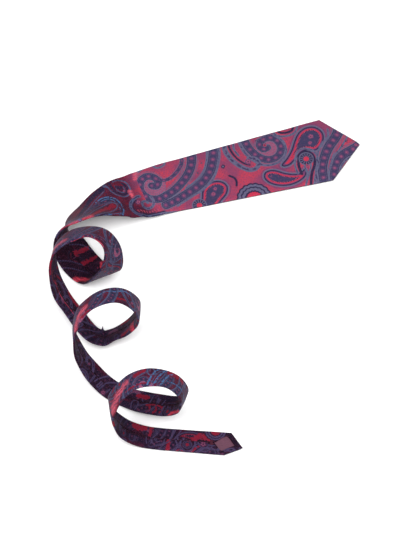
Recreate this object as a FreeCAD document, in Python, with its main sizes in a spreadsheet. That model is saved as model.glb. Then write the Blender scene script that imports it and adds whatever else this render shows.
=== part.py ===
"""Woven silk necktie: wide blade lying flat, neck rolled into three loops, narrow tail lying flat.

Millimetres. +Z is up, the tie lies on the plane Z = 0, and the origin is the bottom centre of its box.
Three cloth pieces (blade, neck, tail) are folded round one strip of canvas and closed along the back
by a hand-sewn seam. "Station" is the length measured along the tie from the blade's shoulders.
"""
import FreeCAD, Part
import os
import Sketcher
from FreeCAD import Placement, Rotation, Vector

DIMENSIONS = [
    ("cloth_thick", 0.5, "silk cloth"),
    ("tie_thick", 3.2, "cloth, canvas and cloth"),
    ("canvas_low", 1.2, "canvas underside above the back face"),
    ("canvas_thick", 1.0, "wool canvas"),
    ("lining_low", 0.8, "tipping underside above the back face"),
    ("lining_thick", 0.3, "tipping cloth"),
    ("canvas_inset", 1.0, "canvas edge to the tie's edge"),
    ("seam_gap", 1.6, "opening between the two back flaps"),
    ("thread_thick", 0.6, "sewing thread"),
    ("blade_len", 162.0, "flat blade, flex line to shoulders"),
    ("blade_point", 39.0, "shoulders to the tip of the blade"),
    ("blade_half_end", 40.0, "half the width at the shoulders"),
    ("blade_half_root", 33.3, "half the width at the flex line"),
    ("blade_skew", 3.0, "shoulder offset along the blade"),
    ("blade_tip_side", 2.4, "sideways offset of the tip"),
    ("blade_hem", 12.0, "hem folded back round the point"),
    ("blade_seam_len", 135.0, "closed part of the back seam"),
    ("blade_lift", 0.9, "blade's back face above the table"),
    ("tail_len", 68.0, "flat tail, flex line to shoulders"),
    ("tail_point", 17.0, "shoulders to the tip of the tail"),
    ("tail_half_end", 14.2, "half the width at the shoulders"),
    ("tail_half_root", 13.6, "half the width at the flex line"),
    ("tail_skew", 3.0, "shoulder offset along the tail"),
    ("tail_tip_side", 4.0, "sideways offset of the tip"),
    ("tail_hem", 4.5, "hem folded back round the point"),
    ("tail_seam_len", 52.0, "closed part of the back seam"),
    ("tipping_reach", 60.0, "tipping inwards of the open part of the blade's seam"),
    ("tail_tipping_reach", 30.0, "tipping inwards of the open part of the tail's seam"),
    ("keeper_at", 34.0, "flex line to the keeper loop"),
    ("keeper_wide", 14.0, "keeper loop along the tie"),
    ("keeper_span", 46.0, "keeper loop across the tie"),
    ("keeper_edge", 1.0, "stitches in from the keeper loop's edges"),
    ("keeper_tack_in", 2.0, "outer side of the stitches in from the keeper loop's ends"),
    ("keeper_tack_wide", 1.0, "width of a row of keeper stitches"),
    ("thread_stop", 4.0, "end of the slip stitch short of the closed seam's end"),
    ("tack_long", 7.0, "bar tack across the seam"),
    ("tack_from", 3.0, "bar tack's start short of the closed seam's end"),
    ("tack_to", 1.0, "bar tack's end short of the closed seam's end"),
    ("tack_low", 0.7, "bar tack below the back face"),
    ("flex_gap", 0.5, "clearance at a flex line"),
    ("join_wide", 0.8, "stitched ridge of a cloth join"),
    ("join_gap", 0.4, "clearance beside a join"),
    ("seam_half", "=seam_gap / 2", "derived"),
    ("tack_half", "=tack_long / 2", "derived"),
    ("thread_half", "=thread_thick / 2", "derived"),
    ("keeper_half", "=keeper_span / 2", "derived"),
    ("blade_tip_start", "=blade_seam_len - tipping_reach", "derived"),
    ("tail_tip_start", "=tail_seam_len - tail_tipping_reach", "derived"),
]

# Station, centre of the tie's thickness, and direction across the tie towards its near edge.
ROUTE = [
    (162, (-20, 131.7, 2.5), (0.27, -0.96, 0.00)),
    (190, (-47, 123, 4.5), (0.32, -0.95, -0.04)),
    (219, (-73, 112, 9), (0.36, -0.93, -0.04)),
    (248, (-99, 101, 18), (0.44, -0.88, 0.19)),
    (278, (-123, 87, 23.5), (0.43, -0.71, 0.56)),
    (305, (-142.5, 74, 25.5), (0.30, -0.56, 0.77)),
    (325, (-156, 60, 22), (-0.25, -0.70, 0.67)),
    (347, (-152.5, 44, 10), (-0.70, -0.66, 0.27)),
    (370, (-139, 27, 2.2), (-0.78, -0.63, 0.01)),
    (396, (-122, 9, 7), (-0.80, -0.59, 0.10)),
    (423, (-110, -0.5, 28.5), (-0.84, -0.46, 0.28)),
    (450, (-103.5, 2, 51), (-0.70, -0.62, 0.34)),
    (477, (-107.5, 15.5, 70.5), (-0.30, -0.86, 0.44)),
    (503, (-127, 25.5, 76.5), (-0.13, -0.80, 0.59)),
    (530, (-151, 22.5, 70.5), (-0.06, -0.83, 0.56)),
    (557, (-168.5, 12, 57), (-0.08, -0.79, 0.61)),
    (584, (-169.5, -4, 38), (-0.34, -0.75, 0.57)),
    (611, (-161, -23, 20), (-0.53, -0.71, 0.46)),
    (638, (-145, -43, 9.5), (-0.54, -0.74, 0.40)),
    (665, (-123, -69, 7.6), (-0.41, -0.85, 0.32)),
    (692, (-101, -68.2, 9.6), (-0.16, -0.92, 0.35)),
    (720, (-84, -66, 26), (-0.05, -0.98, 0.18)),
    (747, (-74, -65.5, 50.5), (-0.05, -1.00, 0.06)),
    (775, (-80, -65, 75.5), (0.03, -1.00, 0.06)),
    (802, (-99, -65.5, 93), (0.20, -0.94, 0.26)),
    (829, (-124.5, -72.7, 90.8), (0.24, -0.86, 0.45)),
    (858, (-142, -85, 75), (0.16, -0.88, 0.44)),
    (885, (-145.5, -97, 54), (-0.03, -0.90, 0.43)),
    (912, (-138.5, -108, 30), (-0.36, -0.89, 0.28)),
    (940, (-123.5, -121, 12), (-0.53, -0.84, 0.11)),
    (967, (-105, -135, 2.4), (-0.52, -0.85, 0.02)),
    (993, (-82, -148.5, 5), (-0.41, -0.90, -0.13)),
    (1021, (-59, -160.3, 15), (-0.31, -0.91, -0.33)),
    (1049, (-36, -170.2, 28), (-0.36, -0.92, -0.16)),
    (1077, (-24, -176, 51), (-0.36, -0.93, -0.01)),
    (1104, (-27.5, -175, 76), (-0.11, -0.99, 0.08)),
    (1131, (-46, -172.6, 94.8), (0.07, -0.98, 0.20)),
    (1159, (-72.5, -174.8, 97.5), (0.11, -0.96, 0.26)),
    (1188, (-92, -181, 84), (0.14, -0.97, 0.22)),
    (1215, (-103.5, -187.5, 61.5), (0.20, -0.97, 0.16)),
    (1243, (-101.5, -190.5, 36), (0.08, -0.99, 0.10)),
    (1271, (-88.5, -192.4, 13.5), (-0.11, -0.99, 0.00)),
    (1298, (-67, -195.6, 3), (-0.10, -1.00, 0.00)),
    (1311, (-56.5, -196.9, 2), (-0.09, -1.00, 0.00)),
    (1325, (-43, -198.3, 1.6), (-0.08, -1.00, 0.00)),
]

# Station and full width of the tie between the two flat ends.
WIDTHS = [(162, 66.6), (219, 59), (278, 52.5), (325, 47.5), (370, 42), (433, 34), (503, 29),
          (611, 25.5), (720, 24), (885, 23.6), (1049, 24.8), (1215, 27), (1325, 27.2)]

BLADE_TURN = 15.5
TAIL_TURN = -4.8
SLICE = 9.0
RUN_ON = 20.0
BLADE_NECK_JOIN = 678.0
NECK_TAIL_JOIN = 980.0

doc = FreeCAD.newDocument("necktie")
sheet = doc.addObject("Spreadsheet::Sheet", "dims")
for row, (alias, value, note) in enumerate(DIMENSIONS, 1):
    sheet.set("A%d" % row, note)
    sheet.set("B%d" % row, str(value))
    sheet.setAlias("B%d" % row, alias)
doc.recompute()


def dim(alias):
    """Length held by the sheet."""
    return float(sheet.get(alias))


# ---------------------------------------------------------------- flat ends, built from sketches

def plane_of(body, role):
    """Origin plane of a body."""
    return next(feature for feature in body.Origin.OriginFeatures if feature.Role == role)


def new_body(label):
    """Empty body with its name."""
    body = doc.addObject("PartDesign::Body", label)
    body.Label = label
    return body


def outline_sketch(body, name, level, corners):
    """Closed outline on a level above the body's base plane; corners are (x, y) sheet formulas."""
    sketch = body.newObject("Sketcher::SketchObject", name)
    sketch.AttachmentSupport = [(plane_of(body, "XY_Plane"), "")]
    sketch.MapMode = "FlatFace"
    sketch.setExpression("AttachmentOffset.Base.z", level)
    spots = [Vector(number(x), number(y), 0) for x, y in corners]
    for start, end in zip(spots, spots[1:] + spots[:1]):
        sketch.addGeometry(Part.LineSegment(start, end), False)
    count = len(spots)
    for index in range(count):
        sketch.addConstraint(Sketcher.Constraint("Coincident", index, 2, (index + 1) % count, 1))
    for index, (spot, corner) in enumerate(zip(spots, corners)):
        for kind, value, formula in zip(("DistanceX", "DistanceY"), (spot.x, spot.y), corner):
            item = sketch.addConstraint(Sketcher.Constraint(kind, -1, 1, index, 1, value))
            sketch.setExpression("Constraints[%d]" % item, formula)
    return sketch


def number(formula):
    """Value of a sum such as 'dims.a - dims.b + 2', used to place a corner before it is solved."""
    total, sign = 0.0, 1.0
    for word in formula.split():
        if word in "+-":
            sign = -1.0 if word == "-" else 1.0
        elif word.startswith("dims."):
            total += sign * dim(word[5:])
        else:
            total += sign * float(word)
    return total


def pad(body, sketch, length):
    """Pad upwards by a sheet formula."""
    feature = body.newObject("PartDesign::Pad", sketch.Name + "_pad")
    feature.Profile = sketch
    feature.setExpression("Length", length)
    sketch.Visibility = False
    body.Tip = feature
    return feature


def mirrored(formula):
    """The same sum with every sign turned round."""
    words = formula.split()
    if words[0] not in "+-":
        words.insert(0, "+")
    return " ".join({"+": "-", "-": "+"}.get(word, word) for word in words)


def end_outline(end, side, inset, root):
    """Corners of a pointed end from the flex line round the point, inset from its edge.

    side is +1 where the forward shoulder is on the local +Y side, and -1 where it is on -Y.
    """
    half_root = "+ dims.%s_half_root - %s" % (end, inset)
    half_end = "+ dims.%s_half_end - %s" % (end, inset)
    ahead = "+ dims.%s_len + dims.%s_skew - %s" % (end, end, inset)
    behind = "+ dims.%s_len - dims.%s_skew - %s" % (end, end, inset)
    tip_x = "+ dims.%s_len + dims.%s_point - %s - %s" % (end, end, inset, inset)
    tip_y = "- dims.%s_tip_side" % end if side > 0 else "+ dims.%s_tip_side" % end
    low_x, high_x = (behind, ahead) if side > 0 else (ahead, behind)
    return [(root, mirrored(half_root)), (low_x, mirrored(half_end)), (tip_x, tip_y),
            (high_x, half_end), (root, half_root)]


def flap_inner(end, side, root):
    """Inner edge of the back flaps: along the seam, opening out in a V, and round the hem."""
    hem = "dims.%s_hem" % end
    seam_end = "+ dims.%s_seam_len" % end
    rim = end_outline(end, side, hem, root)
    half_gap = "+ dims.seam_half"
    return [(root, half_gap), (seam_end, half_gap), rim[3], rim[2], rim[1],
            (seam_end, mirrored(half_gap)), (root, mirrored(half_gap))]


def end_shell(label, end, side):
    """Folded silk of a flat end: front cloth, folded edges, and back flaps with their hems."""
    body = new_body(label)
    root = "+ dims.flex_gap"
    outer = end_outline(end, side, "0", root)
    inner = end_outline(end, side, "dims.cloth_thick", root)
    flaps = outline_sketch(body, label + "_flaps", "0 mm", outer + flap_inner(end, side, root))
    pad(body, flaps, "dims.cloth_thick")
    rim = outline_sketch(body, label + "_rim", "dims.cloth_thick", outer + inner[::-1])
    pad(body, rim, "dims.tie_thick - 2 * dims.cloth_thick")
    front = outline_sketch(body, label + "_front", "dims.tie_thick - dims.cloth_thick", outer)
    pad(body, front, "dims.cloth_thick")
    return body


def end_plate(label, end, side, inset, root, level, thick):
    """Flat sheet of cloth inside a flat end, such as its canvas or its tipping."""
    body = new_body(label)
    sketch = outline_sketch(body, label + "_outline", level, end_outline(end, side, inset, root))
    pad(body, sketch, thick)
    return body


def tipping(label, end, side):
    """Lining sheet behind the open V of a back seam; it is square at its inner end."""
    body = new_body(label)
    start = "+ dims.%s_tip_start" % end
    corners = end_outline(end, side, "dims.canvas_inset", start)
    corners[0] = (start, mirrored("+ dims.%s_half_root - dims.canvas_inset" % end))
    corners[4] = (start, "+ dims.%s_half_root - dims.canvas_inset" % end)
    sketch = outline_sketch(body, label + "_outline", "dims.lining_low", corners)
    pad(body, sketch, "dims.lining_thick")
    return body


def block(label, x0, x1, y0, y1, level, height):
    """Box between two distances along and two across, from a level up by a height."""
    body = new_body(label)
    corners = [(x0, y0), (x1, y0), (x1, y1), (x0, y1)]
    pad(body, outline_sketch(body, label + "_outline", level, corners), height)
    return body


def keeper_tack(label, side):
    """Row of stitches holding one end of the keeper loop to the blade's back; side is +1 or -1."""
    outer_side = "+ dims.keeper_half - dims.keeper_tack_in"
    inner_side = outer_side + " - dims.keeper_tack_wide"
    low_side, high_side = inner_side, outer_side
    if side < 0:
        low_side, high_side = mirrored(outer_side), mirrored(inner_side)
    return block(label, "+ dims.keeper_at + dims.keeper_edge",
                 "+ dims.keeper_at + dims.keeper_wide - dims.keeper_edge", low_side, high_side,
                 "-dims.blade_lift + dims.cloth_thick", "dims.blade_lift - dims.cloth_thick")


def slip_stitch(end):
    """Sewing thread along the closed part of a flat end's back seam."""
    return block(end + "_slip_stitch", "+ dims.flex_gap", "+ dims.%s_seam_len - dims.thread_stop" % end,
                 "- dims.thread_half", "+ dims.thread_half", "0 mm", "dims.cloth_thick")


def bar_tack(end):
    """Short thick stitch across the seam where its flaps part."""
    return block(end + "_bar_tack", "+ dims.%s_seam_len - dims.tack_from" % end,
                 "+ dims.%s_seam_len - dims.tack_to" % end,
                 "- dims.tack_half", "+ dims.tack_half", "-dims.tack_low", "dims.thread_thick")


def seat(body, x, y, z, turn, flip=False):
    """Put a flat end in place: turned about Z, and with its back up where flip is set."""
    spin = Rotation(Vector(0, 0, 1), turn)
    if flip:
        spin = spin.multiply(Rotation(Vector(1, 0, 0), 180))
    body.Placement = Placement(Vector(x, y, z), spin)


# ---------------------------------------------------------------- the curl, lofted along the route

def heading(turn):
    """Level direction at an angle from the X axis."""
    return Rotation(Vector(0, 0, 1), turn).multVec(Vector(1, 0, 0))


# The centre curve runs on into both flat ends, so that the curl leaves them in line.
stations = [float(row[0]) for row in ROUTE]
spots = [Vector(*row[1]) for row in ROUTE]
in_blade = spots[0] + heading(BLADE_TURN) * RUN_ON
in_tail = spots[-1] + heading(TAIL_TURN) * RUN_ON
centre_curve = Part.BSplineCurve()
centre_curve.interpolate(Points=[in_blade] + spots + [in_tail],
                         Parameters=[stations[0] - RUN_ON] + stations + [stations[-1] + RUN_ON])
across_curve = Part.BSplineCurve()
across_curve.interpolate(Points=[Vector(*row[2]) for row in ROUTE], Parameters=stations)


def width_at(station):
    """Full width of the tie, straight between the listed stations."""
    for (s0, w0), (s1, w1) in zip(WIDTHS, WIDTHS[1:]):
        if station <= s1:
            return w0 + (w1 - w0) * (station - s0) / (s1 - s0)
    return WIDTHS[-1][1]


def frame_at(station):
    """Centre, direction across, and direction towards the front cloth at a station."""
    centre = centre_curve.value(station)
    along = centre_curve.tangent(station)[0]
    across = across_curve.value(station)
    across = (across - along * across.dot(along)).normalize()
    return centre, across, along.cross(across).normalize()


def ring(station, corners):
    """Corner points across the tie from (across, height above the back face) pairs."""
    centre, across, front = frame_at(station)
    mid = dim("tie_thick") / 2
    return [centre + across * y + front * (h - mid) for y, h in corners]


def shell_corners(station):
    """Silk folded round the canvas and left open along the seam."""
    half = width_at(station) / 2
    cloth, full = dim("cloth_thick"), dim("tie_thick")
    gap = dim("seam_gap") / 2
    return [(gap, 0), (half, 0), (half, full), (-half, full), (-half, 0), (-gap, 0),
            (-gap, cloth), (cloth - half, cloth), (cloth - half, full - cloth),
            (half - cloth, full - cloth), (half - cloth, cloth), (gap, cloth)]


def canvas_corners(station):
    """Canvas strip inside the silk."""
    half = width_at(station) / 2 - dim("canvas_inset")
    low = dim("canvas_low")
    high = low + dim("canvas_thick")
    return [(half, low), (half, high), (-half, high), (-half, low)]


def thread_corners(station):
    """Sewing thread lying in the seam's opening."""
    half = dim("thread_thick") / 2
    return [(half, 0), (half, 2 * half), (-half, 2 * half), (-half, 0)]


def strip_face(rail, after):
    """Face that joins two rails, which have the same knots, with straight lines."""
    knots, mults = rail.getKnots(), rail.getMultiplicities()
    face = Part.BSplineSurface()
    face.buildFromPolesMultsKnots([rail.getPoles(), after.getPoles()], [2, 2], mults,
                                  [0.0, 1.0], knots, False, False, 1, rail.Degree)
    return face.toShape()


def loft(start, end, corners):
    """Solid between two stations: a smooth rail along each corner and a face between rails."""
    count = max(3, round((end - start) / SLICE))
    steps = [start + (end - start) * step / count for step in range(count + 1)]
    rings = [ring(station, corners(station)) for station in steps]
    rails = []
    for points in zip(*rings):
        rail = Part.BSplineCurve()
        rail.interpolate(Points=list(points), Parameters=steps)
        rails.append(rail)
    faces = [strip_face(rail, after) for rail, after in zip(rails, rails[1:] + rails[:1])]
    faces += [Part.Face(Part.makePolygon(cap + cap[:1])) for cap in (rings[0], rings[-1])]
    skin = Part.makeShell(faces)
    skin.sewShape()
    solid = Part.makeSolid(skin)
    if solid.Volume < 0:
        solid.reverse()
    return solid


def curl_piece(label, start, end, corners):
    """Curved piece of the tie with its name."""
    piece = doc.addObject("Part::Feature", label)
    piece.Label = label
    piece.Shape = loft(start, end, corners)
    piece.Placement = Placement()
    return piece


CANVAS_PLATE = ("dims.canvas_inset", "+ dims.flex_gap", "dims.canvas_low", "dims.canvas_thick")
blade_parts = [
    end_shell("blade_shell", "blade", 1),
    end_plate("blade_interlining", "blade", 1, *CANVAS_PLATE),
    tipping("blade_tipping", "blade", 1),
    slip_stitch("blade"),
    bar_tack("blade"),
    block("keeper_loop", "+ dims.keeper_at", "+ dims.keeper_at + dims.keeper_wide",
          "- dims.keeper_half", "+ dims.keeper_half", "-dims.blade_lift", "dims.cloth_thick"),
    keeper_tack("keeper_tack_far", 1),
    keeper_tack("keeper_tack_near", -1),
]
blade_x, blade_y, _ = ROUTE[0][1]
for part in blade_parts:
    seat(part, blade_x, blade_y, dim("blade_lift"), BLADE_TURN)

tail_parts = [
    end_shell("tail_shell", "tail", -1),
    end_plate("tail_interlining", "tail", -1, *CANVAS_PLATE),
    tipping("tail_tipping", "tail", -1),
    slip_stitch("tail"),
    bar_tack("tail"),
]
tail_x, tail_y, _ = ROUTE[-1][1]
for part in tail_parts:
    seat(part, tail_x, tail_y, dim("tie_thick"), TAIL_TURN, flip=True)

half_join = dim("join_wide") / 2
beside = half_join + dim("join_gap")
first, last = ROUTE[0][0], ROUTE[-1][0]
curl_piece("blade_curl_shell", first, BLADE_NECK_JOIN - beside, shell_corners)
curl_piece("neck_shell", BLADE_NECK_JOIN + beside, NECK_TAIL_JOIN - beside, shell_corners)
curl_piece("tail_curl_shell", NECK_TAIL_JOIN + beside, last, shell_corners)
for label, join in (("blade_neck_join", BLADE_NECK_JOIN), ("neck_tail_join", NECK_TAIL_JOIN)):
    curl_piece(label, join - half_join, join + half_join, shell_corners)
curl_piece("curl_interlining", first, last, canvas_corners)
curl_piece("curl_slip_stitch", first, last, thread_corners)

doc.recompute()

os.makedirs("parts", exist_ok=True)
exported = []
for item in doc.Objects:
    if "Invalid" in item.State or "Error" in item.State:
        raise RuntimeError("%s is %s" % (item.Label, item.State))
    plain = item.TypeId == "Part::Feature"
    if item.TypeId == "PartDesign::Body" or plain:
        shape = item.Shape
        if shape.isNull() or not shape.isValid() or len(shape.Solids) != 1:
            raise RuntimeError("%s has no valid single solid" % item.Label)
        shape.exportStep("parts/%s.step" % item.Label)
        exported.append(item)
print("pieces", len(exported))
for item in exported:
    box = item.Shape.BoundBox
    print("%-20s vol %9.1f  x %7.1f %7.1f  y %7.1f %7.1f  z %6.2f %6.2f" % (
        item.Label, item.Shape.Volume, box.XMin, box.XMax, box.YMin, box.YMax, box.ZMin, box.ZMax))
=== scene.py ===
"""Woven silk paisley necktie lying with its neck curled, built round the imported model. Metres; +Z is up."""
import math

import bmesh
import bpy
import numpy as np
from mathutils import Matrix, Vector


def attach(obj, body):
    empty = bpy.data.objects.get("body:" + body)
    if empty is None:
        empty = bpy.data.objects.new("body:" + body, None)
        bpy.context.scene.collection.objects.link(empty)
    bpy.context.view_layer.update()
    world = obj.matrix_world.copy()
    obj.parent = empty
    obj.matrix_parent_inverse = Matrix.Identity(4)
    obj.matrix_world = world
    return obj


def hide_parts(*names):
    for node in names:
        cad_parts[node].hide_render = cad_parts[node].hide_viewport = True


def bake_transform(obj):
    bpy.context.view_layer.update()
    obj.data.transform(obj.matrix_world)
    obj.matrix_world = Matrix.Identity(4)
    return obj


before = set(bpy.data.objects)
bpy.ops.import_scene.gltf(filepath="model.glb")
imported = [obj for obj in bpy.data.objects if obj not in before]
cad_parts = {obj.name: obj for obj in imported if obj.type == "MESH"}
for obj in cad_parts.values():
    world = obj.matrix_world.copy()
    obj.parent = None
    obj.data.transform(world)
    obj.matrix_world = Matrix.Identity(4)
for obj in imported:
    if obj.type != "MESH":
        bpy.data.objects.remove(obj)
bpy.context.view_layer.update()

MM = 0.001

# ------------------------------------------------------------------ the tie's line
# Station (mm along the tie from the blade's shoulders), centre of the tie's thickness and direction
# across the tie towards its near edge: the same route as the CAD solids.
ROUTE = [
    (162, (-20, 131.7, 2.5), (0.27, -0.96, 0.00)),
    (190, (-47, 123, 4.5), (0.32, -0.95, -0.04)),
    (219, (-73, 112, 9), (0.36, -0.93, -0.04)),
    (248, (-99, 101, 18), (0.44, -0.88, 0.19)),
    (278, (-123, 87, 23.5), (0.43, -0.71, 0.56)),
    (305, (-142.5, 74, 25.5), (0.30, -0.56, 0.77)),
    (325, (-156, 60, 22), (-0.25, -0.70, 0.67)),
    (347, (-152.5, 44, 10), (-0.70, -0.66, 0.27)),
    (370, (-139, 27, 2.2), (-0.78, -0.63, 0.01)),
    (396, (-122, 9, 7), (-0.80, -0.59, 0.10)),
    (423, (-110, -0.5, 28.5), (-0.84, -0.46, 0.28)),
    (450, (-103.5, 2, 51), (-0.70, -0.62, 0.34)),
    (477, (-107.5, 15.5, 70.5), (-0.30, -0.86, 0.44)),
    (503, (-127, 25.5, 76.5), (-0.13, -0.80, 0.59)),
    (530, (-151, 22.5, 70.5), (-0.06, -0.83, 0.56)),
    (557, (-168.5, 12, 57), (-0.08, -0.79, 0.61)),
    (584, (-169.5, -4, 38), (-0.34, -0.75, 0.57)),
    (611, (-161, -23, 20), (-0.53, -0.71, 0.46)),
    (638, (-145, -43, 9.5), (-0.54, -0.74, 0.40)),
    (665, (-123, -69, 7.6), (-0.41, -0.85, 0.32)),
    (692, (-101, -68.2, 9.6), (-0.16, -0.92, 0.35)),
    (720, (-84, -66, 26), (-0.05, -0.98, 0.18)),
    (747, (-74, -65.5, 50.5), (-0.05, -1.00, 0.06)),
    (775, (-80, -65, 75.5), (0.03, -1.00, 0.06)),
    (802, (-99, -65.5, 93), (0.20, -0.94, 0.26)),
    (829, (-124.5, -72.7, 90.8), (0.24, -0.86, 0.45)),
    (858, (-142, -85, 75), (0.16, -0.88, 0.44)),
    (885, (-145.5, -97, 54), (-0.03, -0.90, 0.43)),
    (912, (-138.5, -108, 30), (-0.36, -0.89, 0.28)),
    (940, (-123.5, -121, 12), (-0.53, -0.84, 0.11)),
    (967, (-105, -135, 2.4), (-0.52, -0.85, 0.02)),
    (993, (-82, -148.5, 5), (-0.41, -0.90, -0.13)),
    (1021, (-59, -160.3, 15), (-0.31, -0.91, -0.33)),
    (1049, (-36, -170.2, 28), (-0.36, -0.92, -0.16)),
    (1077, (-24, -176, 51), (-0.36, -0.93, -0.01)),
    (1104, (-27.5, -175, 76), (-0.11, -0.99, 0.08)),
    (1131, (-46, -172.6, 94.8), (0.07, -0.98, 0.20)),
    (1159, (-72.5, -174.8, 97.5), (0.11, -0.96, 0.26)),
    (1188, (-92, -181, 84), (0.14, -0.97, 0.22)),
    (1215, (-103.5, -187.5, 61.5), (0.20, -0.97, 0.16)),
    (1243, (-101.5, -190.5, 36), (0.08, -0.99, 0.10)),
    (1271, (-88.5, -192.4, 13.5), (-0.11, -0.99, 0.00)),
    (1298, (-67, -195.6, 3), (-0.10, -1.00, 0.00)),
    (1311, (-56.5, -196.9, 2), (-0.09, -1.00, 0.00)),
    (1325, (-43, -198.3, 1.6), (-0.08, -1.00, 0.00)),
]
# Station and full width of the tie.
WIDTHS = [(0, 80), (162, 66.6), (219, 59), (278, 52.5), (325, 47.5), (370, 42), (433, 34), (503, 29),
          (611, 25.5), (720, 24), (885, 23.6), (1049, 24.8), (1215, 27), (1325, 27.2), (1393, 28.4)]
BLADE_FLEX, TAIL_FLEX = 162.0, 1325.0
BLADE_TURN, TAIL_TURN = math.radians(15.5), math.radians(-4.8)
BLADE_JOIN, TAIL_JOIN = 678.0, 980.0
TAIL_SHOULDER = 1393.0
THICK = 3.2
CLOTH = 0.42


def cubic(knots, values, first=None, last=None):
    """Cubic spline through the values; returns a function of the station and of the derivative's order."""
    x = np.asarray(knots, float)
    y = np.asarray(values, float)
    count, gaps = len(x), np.diff(x)
    system, target = np.eye(count), np.zeros_like(y)
    for i in range(1, count - 1):
        system[i, i - 1:i + 2] = gaps[i - 1], 2 * (gaps[i - 1] + gaps[i]), gaps[i]
        target[i] = 6 * ((y[i + 1] - y[i]) / gaps[i] - (y[i] - y[i - 1]) / gaps[i - 1])
    if first is not None:
        system[0, :2] = 2 * gaps[0], gaps[0]
        target[0] = 6 * ((y[1] - y[0]) / gaps[0] - np.asarray(first))
    if last is not None:
        system[-1, -2:] = gaps[-1], 2 * gaps[-1]
        target[-1] = 6 * (np.asarray(last) - (y[-1] - y[-2]) / gaps[-1])
    bend = np.linalg.solve(system, target)

    def value(s, order=0):
        i = np.clip(np.searchsorted(x, s) - 1, 0, count - 2)
        after, before, gap = (x[i + 1] - s)[..., None], (s - x[i])[..., None], gaps[i][..., None]
        if order:
            return ((bend[i + 1] * before ** 2 - bend[i] * after ** 2) / (2 * gap) + (y[i + 1] - y[i]) / gap
                    - (bend[i + 1] - bend[i]) * gap / 6)
        return ((bend[i] * after ** 3 + bend[i + 1] * before ** 3) / (6 * gap)
                + (y[i] / gap - bend[i] * gap / 6) * after
                + (y[i + 1] / gap - bend[i + 1] * gap / 6) * before)
    return value


blade_out = np.array([math.cos(BLADE_TURN), math.sin(BLADE_TURN), 0])
tail_out = np.array([math.cos(TAIL_TURN), math.sin(TAIL_TURN), 0])
blade_across = np.array([math.sin(BLADE_TURN), -math.cos(BLADE_TURN), 0])
tail_across = np.array([math.sin(TAIL_TURN), -math.cos(TAIL_TURN), 0])
stations = [row[0] for row in ROUTE]
centre_of = cubic(stations, [row[1] for row in ROUTE], -blade_out, tail_out)
across_of = cubic(stations, [row[2] for row in ROUTE])
blade_root, tail_root = np.array(ROUTE[0][1]), np.array(ROUTE[-1][1])


def unit(vectors):
    """The vectors at length 1."""
    return vectors / np.linalg.norm(vectors, axis=-1, keepdims=True)


def frames(s):
    """Centre, and directions across (to the near edge), to the front and along, at each station."""
    inside = np.clip(s, BLADE_FLEX, TAIL_FLEX)
    centre, along, across = centre_of(inside), centre_of(inside, 1), across_of(inside)
    blade, tail = (s <= BLADE_FLEX)[..., None], (s >= TAIL_FLEX)[..., None]
    centre = np.where(blade, blade_root + (BLADE_FLEX - s)[..., None] * blade_out, centre)
    centre = np.where(tail, tail_root + (s - TAIL_FLEX)[..., None] * tail_out, centre)
    along = unit(np.where(blade, -blade_out, np.where(tail, tail_out, along)))
    across = np.where(blade, blade_across, np.where(tail, tail_across, across))
    across = unit(across - along * (across * along).sum(-1, keepdims=True))
    return centre, across, np.cross(along, across), along


def smooth(start, end, x):
    """0 at the start and 1 at the end, with an even rise between them."""
    t = np.clip((x - start) / (end - start), 0, 1)
    return t * t * (3 - 2 * t)


# ------------------------------------------------------------------ shape of the folded silk
MIDDLE = 700.0          # station between the blade's half of the tie and the tail's
FLAP_GAP = 0.16         # flaps' free ends from the middle of the back
STRIP_WIDE = 8.0        # edge of a flap that is turned in
TURN_RADIUS = 0.45      # fold at a flap's free end
CROWN = 0.5             # swell of the front over the canvas
TIP_HALF = 0.7          # least half width, at the very tip


class End:
    """A pointed end, in distances outwards from the flex line: length of the flat part, then its point.

    The shoulders are skewed, which fades in over the ramp. The tip lies to the side, towards the near
    edge. The seam is closed for its own length, and the hem is turned back round the point.
    """
    def __init__(self, length, point, skew, side, seam, hem, ramp):
        self.length, self.point, self.skew, self.side = length, point, skew, side
        self.seam, self.hem, self.ramp = seam, hem, ramp


BLADE = End(length=162.0, point=39.0, skew=3.0, side=2.4, seam=135.0, hem=12.0, ramp=60.0)
TAIL = End(length=68.0, point=17.0, skew=3.0, side=4.0, seam=52.0, hem=4.5, ramp=30.0)


def end_values(s):
    """Half width, side offset, skew and the flaps' inner edge at each station."""
    x = np.where(s < MIDDLE, BLADE_FLEX - s, s - TAIL_FLEX)
    half = np.interp(s, [row[0] for row in WIDTHS], [row[1] / 2 for row in WIDTHS])
    offset, skew, inner = np.zeros_like(s), np.zeros_like(s), np.full_like(s, FLAP_GAP)
    for end, mine in ((BLADE, s < MIDDLE), (TAIL, s >= MIDDLE)):
        past = np.clip((x - end.length) / end.point, 0, 1)
        apex = end.length + end.point - 2 * end.hem
        mouth = end.length - 0.75 * end.hem
        shoulder = half - end.hem
        open_v = FLAP_GAP + (shoulder - FLAP_GAP) * smooth(end.seam, mouth, x) ** 0.8
        close_v = np.where(x > mouth, shoulder * np.clip((apex - x) / (apex - mouth), 0.004, 1), open_v)
        offset = np.where(mine, end.side * past, offset)
        slant = end.skew * smooth(end.length - end.ramp, end.length, x) * (1 - past)
        skew = np.where(mine, slant, skew)
        inner = np.where(mine & (x > end.seam), np.minimum(open_v, close_v), inner)
        half = np.where(mine, half * (1 - past), half)
    return np.maximum(half, TIP_HALF), offset, skew, inner


# Points across each part of the folded cloth: turned-in strip, its fold, flap, folded edge, half the front.
N_STRIP, N_TURN, N_FLAP, N_EDGE, N_FRONT = 3, 5, 12, 8, 25


def column(values):
    """One value for each station, as a column."""
    return np.asarray(values, float)[:, None]


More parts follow.
